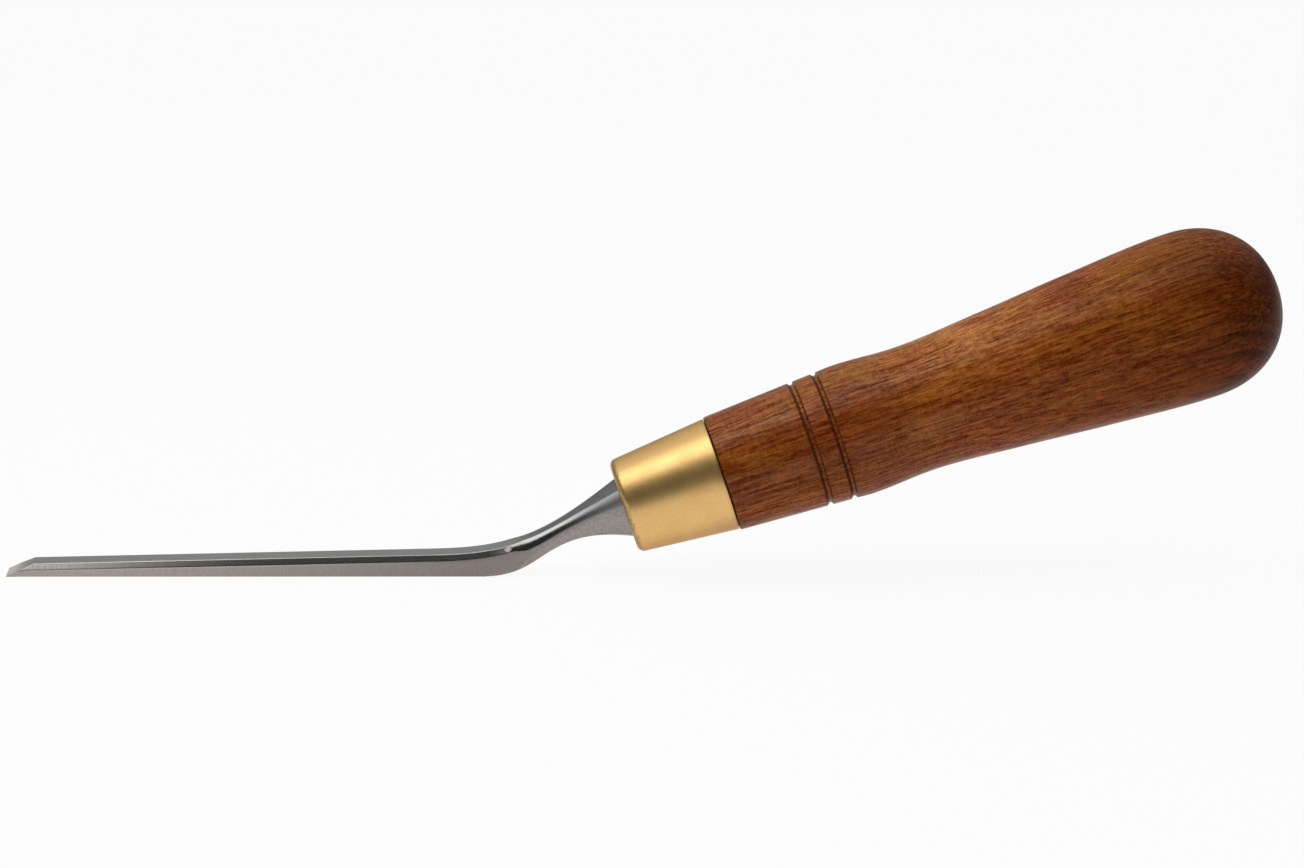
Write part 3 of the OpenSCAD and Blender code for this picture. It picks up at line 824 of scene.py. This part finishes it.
def addSection(bm, layer, under, rise, side, around):
    h = rise.length
    outline = side + [Vector((-p[0], p[1])) for p in side[-2:0:-1]]
    verts = []
    for p, value in zip(outline, around + around[-2:0:-1]):
        q = under + rise * (p[1] / h)
        vert = bm.verts.new((q[0] * mm, p[0] * mm, q[1] * mm))
        vert[layer] = value
        verts.append(vert)
    return [bm.edges.new((verts[i - 1], verts[i])) for i in range(len(verts))]


def barSections(bm, s, layer, around):
    taperLength = s["backLength"] - s["sweepLead"]
    taper = (s["rootThick"] - s["tipThick"]) / taperLength
    loops = []
    for i in range(s["wedgeSections"]):
        x = mix(-s["tipLead"], taperLength, i / s["wedgeSections"])
        h = s["tipThick"] + x * taper
        side = bevelledSide(s, s["width"] / 2, h, s["bevelIn"], s["bevelHeight"], 0.0)
        loops.append(addSection(bm, layer, Vector((x, 0)), Vector((0, h)), side, around))
    return loops


def crankSections(bm, s, layer, around):
    underRail, upperRail = crankRails(s)
    grindEnd = s["backLength"] + s["grindPastHeel"]
    runOut = stationAt(upperRail, grindEnd)
    nickEnd = stationAt(upperRail, grindEnd + s["nickRun"])
    shoulderFull = stationAt(upperRail, grindEnd + s["shoulderRun"])
    narrow = stationAt(upperRail, s["backLength"] + s["neckPastHeel"])
    stations = [i / s["crankSections"] for i in range(s["crankSections"] + 1)]
    stations = [t for t in stations if t <= runOut - s["nickGap"] or t >= nickEnd + s["nickGap"]]
    stations += [mix(runOut, nickEnd, i / s["nickSections"]) for i in range(s["nickSections"] + 1)]
    loops = []
    for t in sorted(stations):
        under, rise = underRail(t), upperRail(t) - underRail(t)
        h = rise.length
        flare = max(0.0, (t - narrow) / (1 - narrow)) ** 2
        w = mix(s["width"], s["neckWidth"], ease((t - runOut) / (narrow - runOut))) / 2
        w += (s["bolsterRadius"] - s["neckWidth"] / 2) * flare
        unground = ease((t - runOut) / (shoulderFull - runOut))
        lean = mix(s["bevelIn"], s["shoulderIn"], unground) * w * 2 / s["width"]
        drop = mix(s["bevelHeight"], s["shoulderHeight"], unground)
        drop *= max(1.0, h / (s["rootThick"] + s["bevelHeight"]))
        nick = s["nickHeight"] * ease((t - runOut) / (nickEnd - runOut))
        bulge = max(nick, s["shoulderBulge"] * unground * drop / s["shoulderHeight"])
        ground = bevelledSide(s, w, h, lean, drop, bulge)
        share = s["bolsterRound"] * ease((t - runOut) / (1 - runOut))
        side = [a.lerp(b, share) for a, b in zip(ground, roundSide(s, w, h))]
        loops.append(addSection(bm, layer, under, rise, side, around))
    return loops


def cutEndBevel(bm, s):
    e = math.radians(s["edgeAngle"])
    cut = bmesh.ops.bisect_plane(bm, geom=bm.verts[:] + bm.edges[:] + bm.faces[:], dist=mergeDistance,
                                 plane_co=(0, 0, 0), plane_no=(-math.sin(e), 0, math.cos(e)),
                                 clear_outer=True)
    rim = [g for g in cut["geom_cut"] if isinstance(g, bmesh.types.BMEdge)]
    bmesh.ops.contextual_create(bm, geom=rim)
    bmesh.ops.remove_doubles(bm, verts=bm.verts, dist=mergeDistance)
    bmesh.ops.recalc_face_normals(bm, faces=bm.faces)


def breakEdges(bm, s):
    broken = [edge for edge in bm.edges if edge.is_manifold
              and edge.calc_face_angle() > math.radians(s["edgeFrom"])
              and max(v.co.z for v in edge.verts) > s["edgeAbove"] * mm
              and max(v.co.x for v in edge.verts) < s["edgeTo"] * mm]
    bmesh.ops.bevel(bm, geom=broken, offset=s["edgeRound"] * mm, offset_type="OFFSET", affect="EDGES",
                    segments=s["edgeSteps"], profile=0.5, material=-1, clamp_overlap=True)


def addTang(bm, s):  # tapers square into the handle
    tang = bmesh.ops.create_cone(bm, cap_ends=True, segments=4, radius1=s["tangWidth"] / math.sqrt(2) * mm,
                                 radius2=s["tangTip"] / math.sqrt(2) * mm, depth=s["tangLength"] * mm)
    inward = Matrix.Translation((0, 0, s["tangLength"] / 2 * mm))
    place = axisFrame @ inward @ Matrix.Rotation(math.pi / 4, 4, "Z")
    bmesh.ops.transform(bm, matrix=place, verts=tang["verts"])


def makeBlade(s, f):
    bm = bmesh.new()
    layer = bm.verts.layers.float.new("around")
    around = aroundValues(s)
    loops = barSections(bm, s, layer, around) + crankSections(bm, s, layer, around)
    for a, b in zip(loops, loops[1:]):
        bmesh.ops.bridge_loops(bm, edges=a + b)
    bmesh.ops.contextual_create(bm, geom=loops[-1])
    cutEndBevel(bm, s)
    breakEdges(bm, s)
    addTang(bm, s)
    steel = makeSteel(f, s["edgeAngle"])
    piece = finishPiece(bm, "bladeForged", steel, "blade", s["sharpAngle"])
    normals = piece.modifiers.new("weightedNormal", "WEIGHTED_NORMAL")
    normals.keep_sharp = True


makeBlade(bladeShape, steelFinish)
print("pieces dressed")
